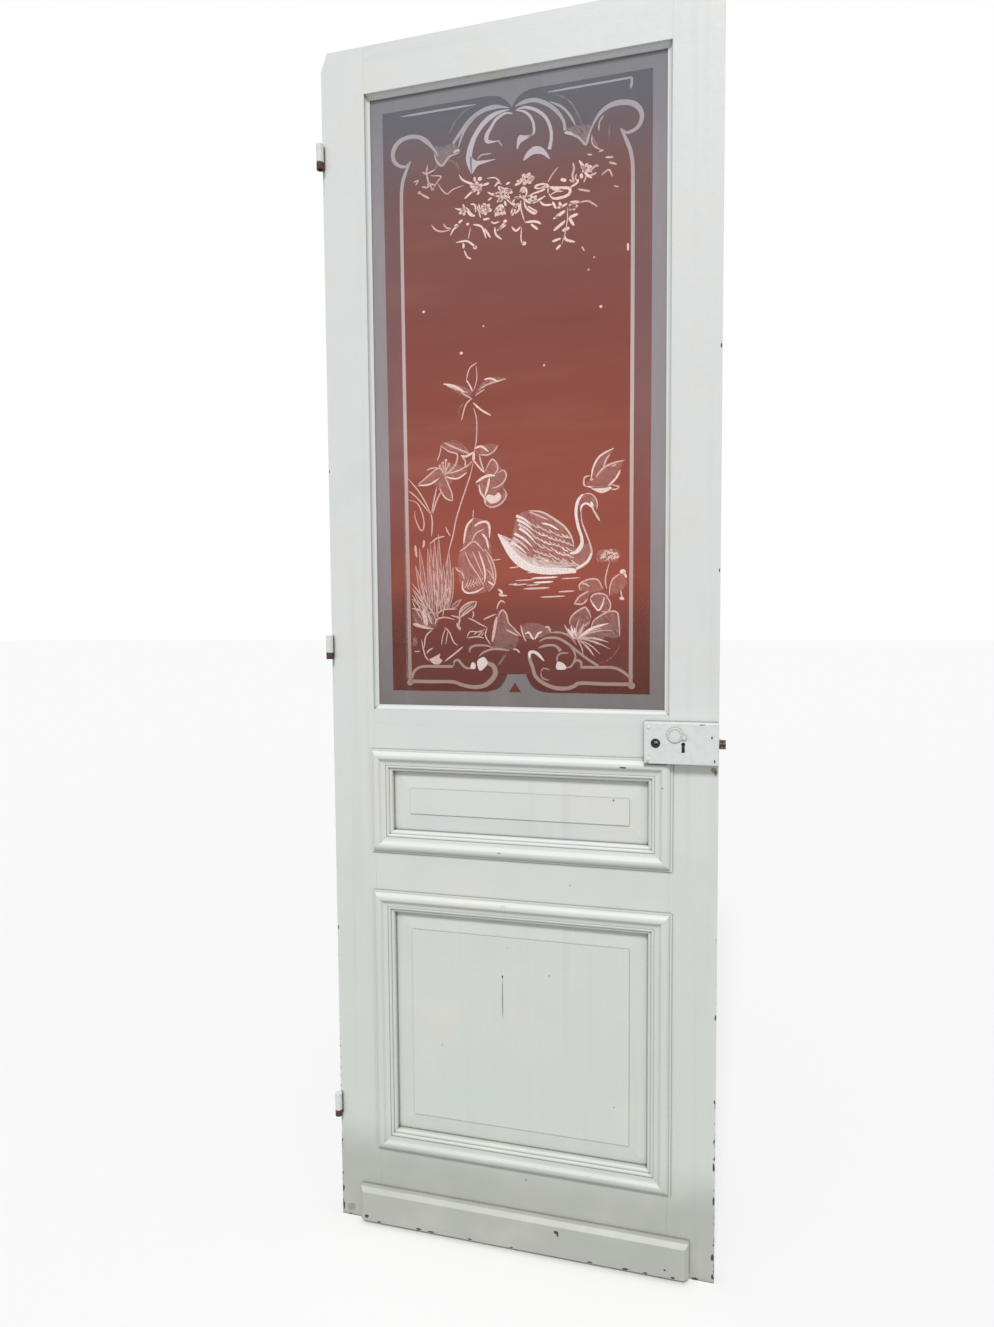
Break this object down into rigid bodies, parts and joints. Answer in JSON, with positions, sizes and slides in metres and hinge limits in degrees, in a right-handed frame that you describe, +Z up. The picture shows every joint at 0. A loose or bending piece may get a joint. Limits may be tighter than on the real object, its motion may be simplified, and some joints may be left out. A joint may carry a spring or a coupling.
{
  "type": "etched glass door",
  "caption": "Tall painted interior door leaf with a frosted, etched glass light over two raised panels, a rim lock and lift-off hinge halves.",
  "frame": {"origin": "on the hinge axis, at the bearing face of the lowest hinge, where the door rests on its frame's half", "axes": "+Z up the hinge axis, +X from the hinges to the lock edge, +Y into the door; the front face with the lock looks towards -Y"},
  "size_m": [0.8215, 0.0752, 2.48],
  "materials": {
    "painted_wood": "old off-white oil paint over pine",
    "etched_glass": "clear sheet with a frosted, etched design on one face",
    "painted_steel": "pressed steel under thick off-white paint",
    "bare_steel": "dull, unpainted",
    "dark_iron": "dark, greasy",
    "worn_brass": "worn, brown at the nose"
  },
  "bodies": {
    "leaf": {"bottom_rail": "painted_wood", "cover_rivet": "painted_steel", "glass_pane": "etched_glass", "glazing_bead_back_bottom": "painted_wood", "glazing_bead_back_left": "painted_wood", "glazing_bead_back_right": "painted_wood", "glazing_bead_back_top": "painted_wood", "glazing_bead_front_bottom": "painted_wood", "glazing_bead_front_left": "painted_wood", "glazing_bead_front_right": "painted_wood", "glazing_bead_front_top": "painted_wood", "hinge_bottom": "painted_steel", "hinge_middle": "painted_steel", "hinge_stile": "painted_wood", "hinge_top": "painted_steel", "lock_back_plate": "bare_steel", "lock_case": "painted_steel", "lock_rail": "painted_wood", "lock_stile": "painted_wood", "lower_moulding_back_bottom": "painted_wood", "lower_moulding_back_left": "painted_wood", "lower_moulding_back_right": "painted_wood", "lower_moulding_back_top": "painted_wood", "lower_moulding_front_bottom": "painted_wood", "lower_moulding_front_left": "painted_wood", "lower_moulding_front_right": "painted_wood", "lower_moulding_front_top": "painted_wood", "lower_panel": "painted_wood", "middle_rail": "painted_wood", "plinth_board": "painted_wood", "top_rail": "painted_wood", "upper_moulding_back_bottom": "painted_wood", "upper_moulding_back_left": "painted_wood", "upper_moulding_back_right": "painted_wood", "upper_moulding_back_top": "painted_wood", "upper_moulding_front_bottom": "painted_wood", "upper_moulding_front_left": "painted_wood", "upper_moulding_front_right": "painted_wood", "upper_moulding_front_top": "painted_wood", "upper_panel": "painted_wood"},
    "handle_follower": {"spindle_follower": "dark_iron"},
    "latch": {"latch_bolt": "worn_brass"},
    "keyhole_flap": {"keyhole_cover": "painted_steel"}
  },
  "joints": [
    {"name": "handle_follower_turn", "type": "hinge", "parent": "leaf", "child": "handle_follower", "pos_m": [0.6835, 0, 0.851], "axis": [0, -1, 0], "range_deg": [0, 35]},
    {"name": "latch_slide", "type": "slide", "parent": "leaf", "child": "latch", "axis": [-1, 0, 0], "range_m": [0, 0.012], "stiffness_N_per_m": 20, "springref_m": -0.012},
    {"name": "keyhole_cover_swing", "type": "hinge", "parent": "leaf", "child": "keyhole_flap", "pos_m": [0.737, -0.0115, 0.863], "axis": [0, -1, 0], "range_deg": [0, 105]}
  ],
  "couplings": [
    {"joint": "handle_follower_turn", "follows": "latch_slide", "rad_per_m": 50.9}
  ]
}
